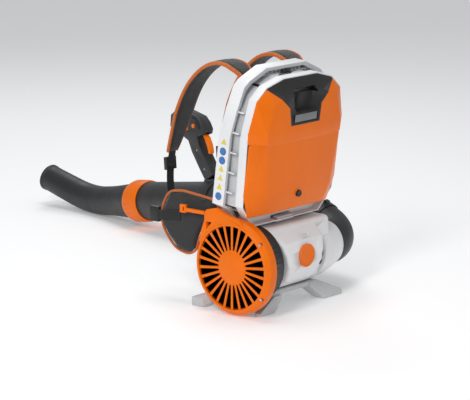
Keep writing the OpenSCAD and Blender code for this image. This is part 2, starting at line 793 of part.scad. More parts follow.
module boost_button() {
    color(orange) on_handle() translate([-26.5, -54, 146]) rotate([0, 90, 0]) cylinder(d = 12, h = 8);
}

module mode_button() {
    color(orange) on_handle() translate([-26.5, -24, 153]) rotate([0, 90, 0]) cylinder(d = 9, h = 8);
}

// ---------------------------------------------------------------- harness
// a band of constant thickness along a line of [y, z] points, pulled out in x
function side_normal(points, i) = let (a = points[max(i - 1, 0)], b = points[min(i + 1,
    len(points) - 1)], d = b - a)
    [-d[1], d[0]] / norm(d);
function band(points, t) = concat([for (i = [0:len(points) - 1]) points[i] + side_normal(points,
    i) * t / 2],
    [for (i = [len(points) - 1:-1:0]) points[i] - side_normal(points, i) * t / 2]);
// a smooth line through four control points
function curve(a, b, c, d, n) = [for (i = [0:n]) let (t = i / n)
    pow(1 - t, 3) * a + 3 * pow(1 - t, 2) * t * b + 3 * (1 - t) * t * t * c + t * t * t * d];

shoulder_line = concat(curve([-35, 576], [-10, 606], [40, 622], [96, 574], 10),
    [for (p = curve([96, 574], [150, 527], [162, 470], [204, 365], 12)) if (p[0] > 97) p]);
webbing_line = concat(curve([205, 358], [213, 320], [216, 268], [200, 246], 8),
    [for (p = curve([200, 246], [180, 218], [92, 222], [7, 224], 8)) if (p[0] < 199) p]);

module shoulder_pad(side) {
    color(fabric) translate([side * pad_x - pad_w / 2, 0, 0]) rotate([90, 0, 90]) linear_extrude(pad_w)
        polygon(band(shoulder_line, pad_t));
}

module shoulder_pad_left() { shoulder_pad(-1); }
module shoulder_pad_right() { shoulder_pad(1); }

module strap_webbing(side) {
    color("#1e1e1f") translate([side * pad_x - 12.5, 0, 0]) rotate([90, 0, 90]) linear_extrude(25)
        polygon(band(webbing_line, 2.6));
}

module strap_webbing_left() { strap_webbing(-1); }
module strap_webbing_right() { strap_webbing(1); }

module strap_sliders() {
    color("#2a2a2a") for (side = [-1, 1]) translate([side * pad_x, 211.6, 334]) rotate([-4, 0,
        0]) difference() {
        translate([-18, -5, -16]) cube([36, 10, 32]);
        rotate([4, 0, 0]) translate([-13.5, -211.6, -334]) rotate([90, 0, 90]) linear_extrude(27)
            polygon(band(webbing_line, 3.6));
    }
}

module back_pad() {
    color(fabric) leaning() for (side = [-1, 1]) {
        translate([side * 60 - 42, 5.3, 130]) cube([84, 20, 205]);
    }
}

module lumbar_pad() {
    color(fabric) leaning() translate([-143, 5.3, 40]) cube([286, 24, 74]);
}

// outline of a hip wing from the side, y forwards
wing = [[9, 230], [24, 220], [48, 194], [64, 164], [74, 136], [100, 122], [142, 130], [172, 158], [194,
    192], [192, 240],
    [168, 282], [120, 290], [60, 284], [9, 276]];
wing_x = 150;

module hip_wing(side) {
    color(fabric) translate([side > 0 ? wing_x : -wing_x - wing_t, 0, 0]) rotate([90, 0,
        90]) linear_extrude(wing_t)
        polygon(wing);
}

module hip_wing_left() { hip_wing(-1); }
module hip_wing_right() { hip_wing(1); }

module hip_buckle_socket() {
    color("#2a2a2a") difference() {
        translate([-wing_x - wing_t / 2 - 7, 194.4, 196]) cube([14, 30, 38]);
        translate([-wing_x - wing_t / 2 - 4, 208, 202]) cube([8, 17, 26]);
    }
}

module hip_buckle_prongs() {
    color("#2a2a2a") translate([wing_x + wing_t / 2, 0, 0]) {
        translate([-7, 194.4, 196]) cube([14, 12, 38]);
        for (z = [203, 211.5, 220]) translate([-3, 206, z]) cube([6, 20, 6]);
    }
}

carry_frame();
base_stand();
fan_housing_rear();
fan_housing_front();
housing_badge();
fan_duct();
outlet_duct();
intake_cone();
intake_cover();
intake_grille();
cover_arm();
cover_screws();
stator_vanes();
motor_stator();
motor_bearings();
motor_controller();
outlet_elbow();
elbow_clamp();
hose_rear();
back_pad();
lumbar_pad();
shoulder_pad_left();
shoulder_pad_right();
strap_webbing_left();
strap_webbing_right();
strap_sliders();
strap_anchors();
battery_socket();
frame_bolts();
fan_impeller();
motor_rotor();
fan_nut();
battery_tray();
battery_cover();
battery_handle();
battery_label();
cell_pack();
battery_plug();
charge_button();
hose_mid_ring();
hose_front();
blow_tube();
tube_collar();
clamp_ring();
nozzle();
handle_clamp();
grip_left();
grip_right();
handle_screws();
trigger();
rear_lever();
boost_button();
mode_button();
hip_wing_left();
hip_wing_right();
hip_buckle_socket();
hip_buckle_prongs();
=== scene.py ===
import math
import bpy
import bmesh
from mathutils import Matrix, Vector


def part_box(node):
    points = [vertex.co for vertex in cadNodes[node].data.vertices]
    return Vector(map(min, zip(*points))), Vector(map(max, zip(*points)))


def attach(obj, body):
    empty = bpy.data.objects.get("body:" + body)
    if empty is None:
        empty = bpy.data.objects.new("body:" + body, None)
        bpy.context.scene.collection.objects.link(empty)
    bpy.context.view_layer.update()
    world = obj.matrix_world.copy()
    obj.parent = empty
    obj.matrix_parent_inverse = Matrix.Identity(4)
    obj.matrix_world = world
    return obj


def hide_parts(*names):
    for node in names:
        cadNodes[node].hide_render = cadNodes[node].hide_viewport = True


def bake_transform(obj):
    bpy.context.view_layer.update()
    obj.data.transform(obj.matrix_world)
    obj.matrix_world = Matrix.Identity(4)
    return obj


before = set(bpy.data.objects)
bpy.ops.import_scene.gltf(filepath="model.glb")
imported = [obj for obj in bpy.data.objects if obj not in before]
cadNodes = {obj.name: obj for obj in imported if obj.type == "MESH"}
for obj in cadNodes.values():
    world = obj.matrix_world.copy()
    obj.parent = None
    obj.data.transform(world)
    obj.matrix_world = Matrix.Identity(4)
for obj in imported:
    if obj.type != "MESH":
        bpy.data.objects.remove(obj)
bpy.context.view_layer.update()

leanAngle = math.radians(7)
print("frame loaded:", len(cadNodes), "nodes")


# places: a point on the leaning frame, the blow pipe's turn and the fan's centre
def lean(x, depth, height):
    return Vector((x, depth * math.cos(leanAngle) - height * math.sin(leanAngle),
                   .2 + height * math.cos(leanAngle) + depth * math.sin(leanAngle)))


leanUp = (lean(0, 0, 1) - lean(0, 0, 0)).normalized()
leanOut = (lean(0, 1, 0) - lean(0, 0, 0)).normalized()
pipeTurn = Matrix.Translation((.474, .997, .0395)) @ Matrix.Rotation(math.radians(-12.7), 4, "Z") \
    @ Matrix.Rotation(math.radians(-9.3), 4, "X")
fanCentre = Vector((0, -.055, .12))

# camera and light
cameraPlace = {"turn": 50, "rise": 11.8, "distance": 5.8, "left": .0649, "up": .2461, "lens": 178}


def addCamera(c):
    turn, rise = math.radians(c["turn"]), math.radians(c["rise"])
    back = Vector((-math.sin(turn) * math.cos(rise), -math.cos(turn) * math.cos(rise), math.sin(rise)))
    right = Vector((math.cos(turn), -math.sin(turn), 0))
    up = back.cross(right)
    place = back * c["distance"] - right * c["left"] + up * c["up"]
    cam = bpy.data.cameras.new("viewer")
    cam.lens, cam.sensor_width, cam.clip_end = c["lens"], 36, 100
    obj = bpy.data.objects.new("viewer", cam)
    obj.matrix_world = Matrix((
        (right.x, up.x, back.x, place.x), (right.y, up.y, back.y, place.y),
        (right.z, up.z, back.z, place.z), (0, 0, 0, 1)))
    bpy.context.scene.collection.objects.link(obj)
    bpy.context.scene.camera = obj


addCamera(cameraPlace)


lightAim = Vector((0, 0, .3))
lights = {
    "keyLight": {"place": (-2.9, -.9, 2.3), "size": .9, "power": 50},
    "fillLight": {"place": (1.6, -3.0, 1.3), "size": 2.2, "power": 5},
    "rimLight": {"place": (1.8, 2.4, 2.6), "size": 1.6, "power": 20},
    "topLight": {"place": (0, .2, 3.2), "size": 1.4, "power": 30},
}


def addLight(name, lamp):
    light = bpy.data.lights.new(name, "AREA")
    light.shape, light.size, light.energy = "DISK", lamp["size"], lamp["power"]
    obj = bpy.data.objects.new(name, light)
    obj.location = lamp["place"]
    obj.rotation_euler = (lightAim - Vector(lamp["place"])).to_track_quat("-Z", "Y").to_euler()
    bpy.context.scene.collection.objects.link(obj)


for name, lamp in lights.items():
    addLight(name, lamp)
world = bpy.data.worlds.new("paleRoom")
world.use_nodes = True
world.node_tree.nodes["Background"].inputs["Color"].default_value = (.93, .94, .96, 1)
world.node_tree.nodes["Background"].inputs["Strength"].default_value = .42
bpy.context.scene.world = world
bpy.context.scene.view_settings.view_transform = "Standard"     # true plastic colours


# materials
def startMaterial(name, base, rough, **sockets):
    mat = bpy.data.materials.new(name)
    mat.use_nodes = True
    shader = mat.node_tree.nodes["Principled BSDF"]
    shader.inputs["Base Color"].default_value = (*base, 1)
    shader.inputs["Roughness"].default_value = rough
    for label, value in sockets.items():
        shader.inputs[label.replace("_", " ")].default_value = value
    mat.diffuse_color = (*base, 1)
    return mat, mat.node_tree.nodes, mat.node_tree.links, shader


def noiseOf(nodes, links, vector, scale, detail=3, rough=.55):
    node = nodes.new("ShaderNodeTexNoise")
    node.inputs["Scale"].default_value = scale
    node.inputs["Detail"].default_value = detail
    node.inputs["Roughness"].default_value = rough
    links.new(vector, node.inputs["Vector"])
    return node.outputs["Fac"]


def remap(nodes, links, value, low, high, out0, out1):
    node = nodes.new("ShaderNodeMapRange")
    links.new(value, node.inputs["Value"])
    for label, number in (("From Min", low), ("From Max", high), ("To Min", out0), ("To Max", out1)):
        node.inputs[label].default_value = number
    return node.outputs["Result"]


def mixed(nodes, links, factor, colourA, colourB):
    node = nodes.new("ShaderNodeMix")
    node.data_type = "RGBA"
    links.new(factor, node.inputs[0])
    for socket, colour in ((node.inputs[6], colourA), (node.inputs[7], colourB)):
        if isinstance(colour, tuple):
            socket.default_value = (*colour, 1)
        else:
            links.new(colour, socket)
    return node.outputs[2]


def bumpFrom(nodes, links, shader, height, strength, distance):
    node = nodes.new("ShaderNodeBump")
    node.inputs["Strength"].default_value = strength
    node.inputs["Distance"].default_value = distance
    links.new(height, node.inputs["Height"])
    links.new(node.outputs["Normal"], shader.inputs["Normal"])


# moulded plastic: slow colour drift, pale scuffs on the edges, fine spark-eroded grain
def moulded(name, base, deep, scuff, rough=.42, grain=.12, grainScale=1500, wear=.35, **sockets):
    mat, nodes, links, shader = startMaterial(name, base, rough, **sockets)
    spot = nodes.new("ShaderNodeTexCoord").outputs["Object"]
    drift = remap(nodes, links, noiseOf(nodes, links, spot, 7), .35, .65, 0, 1)
    colour = mixed(nodes, links, drift, base, deep)
    edge = nodes.new("ShaderNodeNewGeometry").outputs["Pointiness"]
    rubbed = remap(nodes, links, edge, .53, .62, 0, wear)
    patchy = remap(nodes, links, noiseOf(nodes, links, spot, 45, 4), .45, .7, .15, 1)
    both = nodes.new("ShaderNodeMath")
    both.operation = "MULTIPLY"
    links.new(rubbed, both.inputs[0])
    links.new(patchy, both.inputs[1])
    links.new(mixed(nodes, links, both.outputs[0], colour, scuff), shader.inputs["Base Color"])
    smear = noiseOf(nodes, links, spot, 26, 4)
    links.new(remap(nodes, links, smear, .3, .7, rough - .07, rough + .08), shader.inputs["Roughness"])
    bumpFrom(nodes, links, shader, noiseOf(nodes, links, spot, grainScale, 2), grain, .0003)
    return mat


def waveOf(nodes, links, vector, direction, period):
    node = nodes.new("ShaderNodeTexWave")
    node.wave_type, node.bands_direction, node.wave_profile = "BANDS", direction, "SIN"
    node.inputs["Scale"].default_value = .314 / period
    links.new(vector, node.inputs["Vector"])
    return node.outputs["Fac"]


# woven cloth: two sets of threads along the given directions, with fuzz and a little sheen
def woven(name, base, light, period, ways=("X", "Y"), useUv=True, rough=.85, depth=.5, sheen=.25):
    mat, nodes, links, shader = startMaterial(name, base, rough, Sheen_Weight=sheen, Sheen_Roughness=.5)
    coords = nodes.new("ShaderNodeTexCoord")
    spot = coords.outputs["UV"] if useUv else coords.outputs["Object"]
    warp = waveOf(nodes, links, spot, ways[0], period)
    weft = waveOf(nodes, links, spot, ways[1], period * 1.15)
    cross = nodes.new("ShaderNodeMath")
    cross.operation = "MULTIPLY"
    links.new(warp, cross.inputs[0])
    links.new(weft, cross.inputs[1])
    worn = remap(nodes, links, noiseOf(nodes, links, coords.outputs["Object"], 14, 4), .35, .7, 0, .55)
    colour = mixed(nodes, links, worn, base, light)
    dark = tuple(c * .45 for c in base)
    links.new(mixed(nodes, links, remap(nodes, links, cross.outputs[0], 0, .6, 0, 1), dark, colour),
              shader.inputs["Base Color"])
    fuzz = noiseOf(nodes, links, coords.outputs["Object"], 2400, 2)
    sumUp = nodes.new("ShaderNodeMath")
    sumUp.operation = "ADD"
    links.new(cross.outputs[0], sumUp.inputs[0])
    links.new(remap(nodes, links, fuzz, .3, .7, 0, .35), sumUp.inputs[1])
    bumpFrom(nodes, links, shader, sumUp.outputs[0], depth, .0006)
    return mat


def metal(name, base, rough, scratch=300):
    mat, nodes, links, shader = startMaterial(name, base, rough, Metallic=1.0)
    spot = nodes.new("ShaderNodeTexCoord").outputs["Object"]
    streak = noiseOf(nodes, links, spot, scratch, 4)
    links.new(remap(nodes, links, streak, .3, .7, rough - .1, rough + .15), shader.inputs["Roughness"])
    links.new(mixed(nodes, links, noiseOf(nodes, links, spot, 30), base, tuple(c * .7 for c in base)),
              shader.inputs["Base Color"])
    bumpFrom(nodes, links, shader, streak, .1, .0002)
    return mat


finish = {
    "white": moulded("whiteShell", (.84, .845, .85), (.78, .785, .80), (.66, .66, .66), .36, .10, wear=.22),
    "pale": moulded("paleGreyShell", (.60, .61, .62), (.53, .54, .55), (.74, .74, .74), .48, .16),
    "orange": moulded("orangeShell", (.90, .175, .0), (.86, .160, .0), (.95, .32, .02), .36, .06, wear=.15,
                      Specular_IOR_Level=.22),
    "charcoal": moulded("charcoalShell", (.022, .0225, .024), (.016, .0165, .018), (.09, .09, .095), .46,
                        .22),
    "trim": moulded("blackTrim", (.013, .013, .014), (.009, .009, .0095), (.06, .06, .06), .40, .15),
    "hose": moulded("hoseRubber", (.010, .010, .0105), (.007, .007, .0075), (.05, .05, .05), .55, .25, 900),
    "pad": woven("padCloth", (.022, .0225, .024), (.045, .046, .049), .0013),
    "wingPad": woven("wingCloth", (.022, .0225, .024), (.045, .046, .049), .0014, ("Y", "Z"), False),
    "backPad": woven("backCloth", (.022, .0225, .024), (.045, .046, .049), .0015, ("X", "Z"), False),
    "webbing": woven("webbingWeave", (.012, .012, .013), (.03, .03, .032), .0018, depth=.8, sheen=.1),
    "piping": woven("orangePiping", (.82, .17, .004), (.88, .26, .02), .0011, rough=.7, depth=.4),
    "thread": woven("darkThread", (.022, .022, .024), (.05, .05, .053), .0004, ("X", "Z"), False),
    "screw": metal("zincScrew", (.62, .63, .65), .3),
    "steel": metal("motorSteel", (.42, .43, .45), .35),
    "copper": metal("copperWire", (.72, .33, .14), .38, 900),
    "board": moulded("boardGreen", (.02, .10, .05), (.015, .07, .04), (.3, .3, .2), .4, .3, 400),
    "cells": moulded("cellWrap", (.08, .16, .30), (.06, .12, .24), (.4, .45, .5), .35, .05),
    "label": moulded("blankLabel", (.19, .195, .20), (.16, .165, .17), (.4, .4, .4), .3, .04, wear=.1),
    "sticker": moulded("blankSticker", (.78, .62, .05), (.72, .56, .04), (.9, .9, .8), .35, .03, wear=.1),
    "stickerBlue": moulded("blankStickerBlue", (.03, .16, .45), (.02, .13, .40), (.8, .8, .9), .35, .03,
                           wear=.1),
}
print("materials ready:", len(finish))


# shared mesh helpers
def addMesh(name, bm, look, body, replaced=(), smooth=40):
    bmesh.ops.recalc_face_normals(bm, faces=bm.faces)
    mesh = bpy.data.meshes.new(name)
    bm.to_mesh(mesh)
    bm.free()
    return addPiece(name, mesh, look, body, replaced, smooth)


def addPiece(name, mesh, look, body, replaced=(), smooth=40):
    mesh.polygons.foreach_set("use_smooth", [True] * len(mesh.polygons))
    if smooth:
        mesh.set_sharp_from_angle(angle=math.radians(smooth))
    obj = bpy.data.objects.new(name, mesh)
    bpy.context.scene.collection.objects.link(obj)
    mesh.materials.clear()
    mesh.materials.append(finish[look])
    if body:
        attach(obj, body)
    if replaced:
        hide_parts(*replaced)
    return obj


# a CAD shell again with its edges rounded off
def softened(node, look, body, width):
    bm = bmesh.new()
    bm.from_mesh(cadNodes[node].data)
    bmesh.ops.remove_doubles(bm, verts=bm.verts, dist=2e-6)
    bmesh.ops.dissolve_limit(bm, angle_limit=math.radians(.6), verts=bm.verts, edges=bm.edges)
    sharp = [e for e in bm.edges if len(e.link_faces) == 2 and e.calc_face_angle(0) > math.radians(32)]
    if width and sharp:
        bmesh.ops.bevel(bm, geom=sharp, offset=width, offset_type="OFFSET", segments=2, profile=.6,
                        affect="EDGES", clamp_overlap=False, harden_normals=False)
    mesh = bpy.data.meshes.new(node)
    bm.to_mesh(mesh)
    bm.free()
    piece = addPiece(node + "Shell", mesh, look, body, (node,), 0)
    mesh.set_sharp_from_angle(angle=math.radians(48))
    return piece


# rings of points joined into a skin, with optional closed ends
def loft(bm, rings, closeEnds=True, ringClosed=True, uvs=None):
    rows = [[bm.verts.new(p) for p in ring] for ring in rings]
    layer = bm.loops.layers.uv.verify() if uvs else None
    count = len(rows[0])
    for i in range(len(rows) - 1):
        for j in range(count if ringClosed else count - 1):
            k = (j + 1) % count
            face = bm.faces.new((rows[i][j], rows[i][k], rows[i + 1][k], rows[i + 1][j]))
            if uvs:
                across = [uvs[0][j], uvs[0][j + 1], uvs[0][j + 1], uvs[0][j]]
                along = [uvs[1][i], uvs[1][i], uvs[1][i + 1], uvs[1][i + 1]]
                for loop, u, v in zip(face.loops, across, along):
                    loop[layer].uv = (u, v)
    if closeEnds:
        for row in (rows[0], rows[-1]):
            centre = bm.verts.new(sum((v.co for v in row), Vector()) / count)
            for j in range(count):
                bm.faces.new((row[j], row[(j + 1) % count], centre))
    return rows


def distances(points):
    total = [0.0]
    for a, b in zip(points, points[1:]):
        total.append(total[-1] + (b - a).length)
    return total


# a round cord along a line of points, with its own cloth coordinates
def tube(bm, points, radius, sides=10, flat=1.0):
    along = distances(points)
    rings = []
    for i, p in enumerate(points):
        ahead = (points[min(i + 1, len(points) - 1)] - points[max(i - 1, 0)]).normalized()
        side = (ahead.orthogonal() if i == 0 else side - ahead * side.dot(ahead)).normalized()
        other = ahead.cross(side)
        rings.append([p + radius * (math.cos(a) * side + flat * math.sin(a) * other)
                      for a in (2 * math.pi * j / sides for j in range(sides))])
    loft(bm, rings, uvs=([2 * math.pi * radius * j / sides for j in range(sides + 1)], along))


def bezier(a, b, c, d, count, vectorOf):
    def at(t, k):
        return (1 - t) ** 3 * a[k] + 3 * (1 - t) ** 2 * t * b[k] + 3 * (1 - t) * t * t * c[k] + t ** 3 * d[k]

    return [vectorOf(*[at(i / count, k) for k in range(len(a))]) for i in range(count + 1)]


# geometry node trees for what repeats
def startTree(name, sockets):
    tree = bpy.data.node_groups.new(name, "GeometryNodeTree")
    tree.interface.new_socket("Geometry", in_out="INPUT", socket_type="NodeSocketGeometry")
    for label, kind in sockets:
        tree.interface.new_socket(label, in_out="INPUT", socket_type=kind)
    tree.interface.new_socket("Geometry", in_out="OUTPUT", socket_type="NodeSocketGeometry")
    return tree, tree.nodes.new("NodeGroupInput"), tree.nodes.new("NodeGroupOutput")


def endTree(tree, source, groupIn, groupOut):
    real = tree.nodes.new("GeometryNodeRealizeInstances")
    paint = tree.nodes.new("GeometryNodeSetMaterial")
    tree.links.new(source, real.inputs[0])
    tree.links.new(real.outputs[0], paint.inputs["Geometry"])
    tree.links.new(groupIn.outputs["Finish"], paint.inputs["Material"])
    tree.links.new(paint.outputs[0], groupOut.inputs[0])
    return tree


# copies of a small shape at each point of the carrier, all turned by the one given turn and scaled by the
# given size
def buildScatterTree():
    tree, gIn, gOut = startTree("shapeOnPoints", [
        ("Shape", "NodeSocketObject"), ("Turn", "NodeSocketRotation"),
        ("Size", "NodeSocketFloat"), ("Finish", "NodeSocketMaterial")])
    info = tree.nodes.new("GeometryNodeObjectInfo")
    tree.links.new(gIn.outputs["Shape"], info.inputs["Object"])
    info.inputs["As Instance"].default_value = True
    place = tree.nodes.new("GeometryNodeInstanceOnPoints")
    tree.links.new(gIn.outputs["Geometry"], place.inputs["Points"])
    tree.links.new(info.outputs["Geometry"], place.inputs["Instance"])
    tree.links.new(gIn.outputs["Turn"], place.inputs["Rotation"])
    tree.links.new(gIn.outputs["Size"], place.inputs["Scale"])
    return endTree(tree, place.outputs[0], gIn, gOut)


# the shape repeated round the fan's axis
def buildRadialTree():
    tree, gIn, gOut = startTree("shapeRoundAxis", [
        ("Shape", "NodeSocketObject"), ("Count", "NodeSocketInt"),
        ("Centre", "NodeSocketVector"), ("Finish", "NodeSocketMaterial")])
    line = tree.nodes.new("GeometryNodeMeshLine")
    line.inputs["Offset"].default_value = (0, 0, 0)
    tree.links.new(gIn.outputs["Count"], line.inputs["Count"])
    tree.links.new(gIn.outputs["Centre"], line.inputs["Start Location"])
    index = tree.nodes.new("GeometryNodeInputIndex")
    share = tree.nodes.new("ShaderNodeMath")
    share.operation = "DIVIDE"
    tree.links.new(index.outputs[0], share.inputs[0])
    tree.links.new(gIn.outputs["Count"], share.inputs[1])
    full = tree.nodes.new("ShaderNodeMath")
    full.operation = "MULTIPLY"
    full.inputs[1].default_value = 2 * math.pi
    tree.links.new(share.outputs[0], full.inputs[0])
    turn = tree.nodes.new("ShaderNodeCombineXYZ")
    tree.links.new(full.outputs[0], turn.inputs["X"])
    info = tree.nodes.new("GeometryNodeObjectInfo")
    tree.links.new(gIn.outputs["Shape"], info.inputs["Object"])
    info.inputs["As Instance"].default_value = True
    place = tree.nodes.new("GeometryNodeInstanceOnPoints")
    tree.links.new(line.outputs[0], place.inputs["Points"])
    tree.links.new(info.outputs["Geometry"], place.inputs["Instance"])
    tree.links.new(turn.outputs[0], place.inputs["Rotation"])
    return endTree(tree, place.outputs[0], gIn, gOut)


# stitches of one length at an even pitch along the carrier's edges
def buildStitchTree():
    tree, gIn, gOut = startTree("stitchesAlongLine", [
        ("Pitch", "NodeSocketFloat"), ("Thread", "NodeSocketFloat"),
        ("Stitch", "NodeSocketFloat"), ("Finish", "NodeSocketMaterial")])
    curve = tree.nodes.new("GeometryNodeMeshToCurve")
    tree.links.new(gIn.outputs["Geometry"], curve.inputs["Mesh"])
    points = tree.nodes.new("GeometryNodeCurveToPoints")
    points.mode = "LENGTH"
    tree.links.new(curve.outputs[0], points.inputs["Curve"])
    tree.links.new(gIn.outputs["Pitch"], points.inputs["Length"])
    ball = tree.nodes.new("GeometryNodeMeshIcoSphere")
    ball.inputs["Subdivisions"].default_value = 1
    ball.inputs["Radius"].default_value = 1
    size = tree.nodes.new("ShaderNodeCombineXYZ")
    for axis in ("X", "Y"):
        tree.links.new(gIn.outputs["Thread"], size.inputs[axis])
    tree.links.new(gIn.outputs["Stitch"], size.inputs["Z"])
    place = tree.nodes.new("GeometryNodeInstanceOnPoints")
    tree.links.new(points.outputs["Points"], place.inputs["Points"])
    tree.links.new(ball.outputs["Mesh"], place.inputs["Instance"])
    tree.links.new(points.outputs["Rotation"], place.inputs["Rotation"])
    tree.links.new(size.outputs[0], place.inputs["Scale"])
    return endTree(tree, place.outputs[0], gIn, gOut)


scatterTree, radialTree, stitchTree = buildScatterTree(), buildRadialTree(), buildStitchTree()


def carrierOf(name, points, joined):
    mesh = bpy.data.meshes.new(name)
    edges = []
    flat = []
    for line in points:
        base = len(flat)
        flat += [tuple(p) for p in line]
        if joined:
            edges += [(base + i, base + i + 1) for i in range(len(line) - 1)]
    mesh.from_pydata(flat, edges, [])
    obj = bpy.data.objects.new(name, mesh)
    bpy.context.scene.collection.objects.link(obj)
    return obj


def bakeTree(tree, carrier, values, name, look, body, replaced=(), smooth=40):
    mod = carrier.modifiers.new("nodes", "NODES")
    mod.node_group = tree
    values = dict(values, Finish=finish[look])
    for item in tree.interface.items_tree:
        if item.item_type == "SOCKET" and item.in_out == "INPUT" and item.name in values:
            mod[item.identifier] = values[item.name]
    graph = bpy.context.evaluated_depsgraph_get()
    mesh = bpy.data.meshes.new_from_object(carrier.evaluated_get(graph), depsgraph=graph)
    carrier.modifiers.remove(mod)
    bpy.data.objects.remove(carrier)
    if not len(mesh.polygons):
        print("empty result:", name)
    return addPiece(name, mesh, look, body, replaced, smooth)


def spareObject(name, bm):
    bmesh.ops.recalc_face_normals(bm, faces=bm.faces)
    mesh = bpy.data.meshes.new(name)
    bm.to_mesh(mesh)
    bm.free()
    obj = bpy.data.objects.new(name, mesh)
    bpy.context.scene.collection.objects.link(obj)
    return obj


# rigid shells taken over from the frame, edges rounded
shells = [
    ("carry_frame", "white", "backframe", .0007), ("base_stand", "pale", "backframe", .0016),
    ("outlet_duct", "white", "backframe", .0012), ("intake_cone", "trim", "backframe", 0),
    ("intake_cover", "orange", "backframe", .0012), ("cover_arm", "orange", "backframe", .0009),
    ("outlet_elbow", "charcoal", "backframe", 0), ("elbow_clamp", "trim", "backframe", .0006),
    ("strap_sliders", "trim", "backframe", .0009), ("strap_anchors", "trim", "backframe", .0006),
    ("battery_socket", "pale", "backframe", .0005), ("battery_tray", "white", "battery", .0007),
    ("battery_plug", "pale", "battery", .0005),
    ("charge_button", "trim", "charge_key", .0009), ("hose_mid_ring", "trim", "hose_middle", .0010),
    ("blow_tube", "charcoal", "blow_pipe", .0006), ("tube_collar", "trim", "blow_pipe", .0012),
    ("clamp_ring", "orange", "pipe_ring", .0007), ("handle_clamp", "charcoal", "control_handle", .0012),
    ("grip_left", "charcoal", "control_handle", .0016), ("grip_right", "charcoal", "control_handle", .0016),
    ("trigger", "orange", "throttle", .0014), ("rear_lever", "orange", "back_lever", .0014),
    ("boost_button", "orange", "boost_key", .0012), ("mode_button", "orange", "mode_key", .0010),
    ("hip_buckle_socket", "trim", "belt_left", .0016), ("hip_buckle_prongs", "trim", "belt_right", .0010),
]
shellPieces = {node: softened(node, look, body, width) for node, look, body, width in shells}
for node in ("fan_housing_rear", "fan_housing_front"):
    softened(node, "white", "backframe", 0)
for node in ("battery_cover", "battery_handle"):
    softened(node, "orange" if node == "battery_cover" else "trim", "battery", 0)
# the rim is white and the ribs inside it are grey
rimOutline = [(.014, .141), (.042, .148), (.064, .166), (.076, .192), (.25, .190), (.308, .174),
              (.364, .154), (.378, .138), (.404, .076)]


def rimHalf(height):
    for (h0, x0), (h1, x1) in zip(rimOutline, rimOutline[1:]):
        if h0 <= height <= h1:
            return x0 + (x1 - x0) * (height - h0) / (h1 - h0)
    return .076


frameMesh = shellPieces["carry_frame"].data
frameMesh.materials.append(finish["pale"])
for face in frameMesh.polygons:
    c = face.center
    depth = c.y * math.cos(leanAngle) + (c.z - .2) * math.sin(leanAngle)
    height = -c.y * math.sin(leanAngle) + (c.z - .2) * math.cos(leanAngle)
    if depth < .0005 and abs(c.x) < rimHalf(height) - .0095 and height < .3925 and height > .018:
        face.material_index = 1
print("shells softened:", len(shellPieces) + 4)

# inner pieces that keep their own shape
plain = {"fan_duct": "charcoal", "stator_vanes": "charcoal", "motor_stator": "copper",
         "motor_bearings": "steel", "motor_controller": "board", "frame_bolts": "screw",
         "fan_impeller": "trim", "motor_rotor": "steel",
         "fan_nut": "screw", "cell_pack": "cells", "handle_screws": "screw"}
for node, look in plain.items():
    data = cadNodes[node].data
    data.materials.clear()
    data.materials.append(finish[look])

# intake grille, spokes and hub
grille = {"spokes": 26, "face": -.1805, "hub": .045, "reach": .1035, "width": .0076, "thick": .0105}


def addGrille(g):
    bm = bmesh.new()    # one spoke with a rounded outer face, pointing up from the axis
    w, x0, t = g["width"] / 2, g["face"] + .0008, g["thick"]
    section = [(x0 + t, -w * .8), (x0 + .0022, -w), (x0 + .0007, -w * .72), (x0, -w * .3),
               (x0, w * .3), (x0 + .0007, w * .72), (x0 + .0022, w), (x0 + t, w * .8)]
    stations = [(g["hub"] - .004, 1.0), (g["hub"] + .006, .92), (.075, .98), (.092, 1.06),
                (g["reach"] - .0005, 1.2)]
    loft(bm, [[Vector((x, y * k, z)) for x, y in section] for z, k in stations])
    spoke = spareObject("spokeShape", bm)
    dot = carrierOf("spokeCarrier", [[Vector((0, 0, 0))]], False)
    bakeTree(radialTree, dot, {"Shape": spoke, "Count": g["spokes"], "Centre": tuple(fanCentre)},
             "grilleSpokes", "orange", "backframe", ("intake_grille",))
    bpy.data.objects.remove(spoke)
    bm = bmesh.new()    # domed hub and the ring that the spokes run into
    profiles = ([(.0, -.0022), (.012, -.0021), (.026, -.0016), (.036, -.0006), (.0405, .0008), (.0435, .0026),
                 (g["hub"], .005), (g["hub"], .0095), (.040, .0105), (.0, .0105)],
                [(g["reach"] - .0045, .0035), (g["reach"] - .002, .0024), (g["reach"] + .0012, .0029),
                 (g["reach"] + .0012, .0138), (g["reach"] - .0045, .0138), (g["reach"] - .0045, .0035)])
    for profile in profiles:
        rings = [[fanCentre + Vector((g["face"] + x, r * math.cos(a), r * math.sin(a)))
                  for a in (2 * math.pi * j / 96 for j in range(96))] for r, x in profile]
        loft(bm, rings, False)
    bmesh.ops.remove_doubles(bm, verts=bm.verts, dist=1e-6)
    addMesh("grilleHub", bm, "orange", "backframe")


addGrille(grille)


# screws with a six-point socket, each set on one body
def screwShape(radius, high):
    bm = bmesh.new()
    sides = 24
    star = [(radius * (.42 if j % 4 < 2 else .34)) for j in range(sides)]
    rows = [(0, radius), (high * .55, radius), (high, radius * .82), (high, star), (high * .35, star)]
    rings = []
    for z, r in rows:
        rings.append([Vector((math.cos(2 * math.pi * j / sides) * (r[j] if isinstance(r, list) else r),
                              math.sin(2 * math.pi * j / sides) * (r[j] if isinstance(r, list) else r), z))
                      for j in range(sides)])
    loft(bm, rings)
    return spareObject("screwShape", bm)


def addScrews(name, places, direction, radius, high, body, replaced=()):
    shape = screwShape(radius, high)
    carrier = carrierOf(name + "Carrier", [places], False)
    turn = Vector((0, 0, 1)).rotation_difference(Vector(direction)).to_euler()
    bakeTree(scatterTree, carrier, {"Shape": shape, "Turn": tuple(turn), "Size": 1.0}, name, "screw", body,
             replaced)
    bpy.data.objects.remove(shape)


